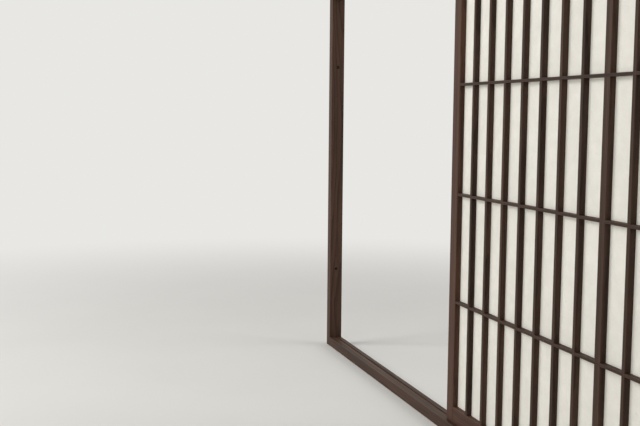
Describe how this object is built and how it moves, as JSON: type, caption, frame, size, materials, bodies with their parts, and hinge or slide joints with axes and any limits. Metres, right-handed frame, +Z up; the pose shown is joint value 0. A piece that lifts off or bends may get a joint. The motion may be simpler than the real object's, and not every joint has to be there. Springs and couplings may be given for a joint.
{
  "type": "shoji sliding screen",
  "caption": "Sliding lattice screen of stained wood, papered on its wall side, running in a slim frame with a grooved sill track, a head track and end jambs.",
  "frame": {"origin": "middle of the underside of the frame, under the sill", "axes": "+X right along the track as seen from the room, +Y towards the wall behind the screen, +Z up"},
  "size_m": [2.58, 0.04, 1.1405],
  "materials": {
    "frame_wood": "dark stain, satin, planed",
    "glide_wood": "waxed hardwood",
    "panel_wood": "dark stain, satin, planed",
    "lattice_wood": "dark stain, satin, planed",
    "screen_paper": "matt fibrous translucent paper",
    "screw_steel": "plated wood screws"
  },
  "bodies": {
    "frame": {"sill": "frame_wood", "sill_glide_strip": "glide_wood", "head": "frame_wood", "left_jamb": "frame_wood", "right_jamb": "frame_wood", "frame_screws": "screw_steel"},
    "panel": {"left_stile": "panel_wood", "right_stile": "panel_wood", "bottom_rail": "panel_wood", "top_rail": "panel_wood", "vertical_bar_01": "lattice_wood", "vertical_bar_02": "lattice_wood", "vertical_bar_03": "lattice_wood", "vertical_bar_04": "lattice_wood", "vertical_bar_05": "lattice_wood", "vertical_bar_06": "lattice_wood", "vertical_bar_07": "lattice_wood", "middle_bar": "lattice_wood", "vertical_bar_09": "lattice_wood", "vertical_bar_10": "lattice_wood", "vertical_bar_11": "lattice_wood", "vertical_bar_12": "lattice_wood", "vertical_bar_13": "lattice_wood", "vertical_bar_14": "lattice_wood", "vertical_bar_15": "lattice_wood", "horizontal_bar_1": "lattice_wood", "horizontal_bar_2": "lattice_wood", "horizontal_bar_3": "lattice_wood", "paper_strip_1": "screen_paper", "paper_strip_2": "screen_paper", "paper_strip_3": "screen_paper", "paper_strip_4": "screen_paper"}
  },
  "joints": [
    {"name": "panel_slide", "type": "slide", "parent": "frame", "child": "panel", "axis": [1, 0, 0], "range_m": [-0.9065, 0.3525]}
  ]
}
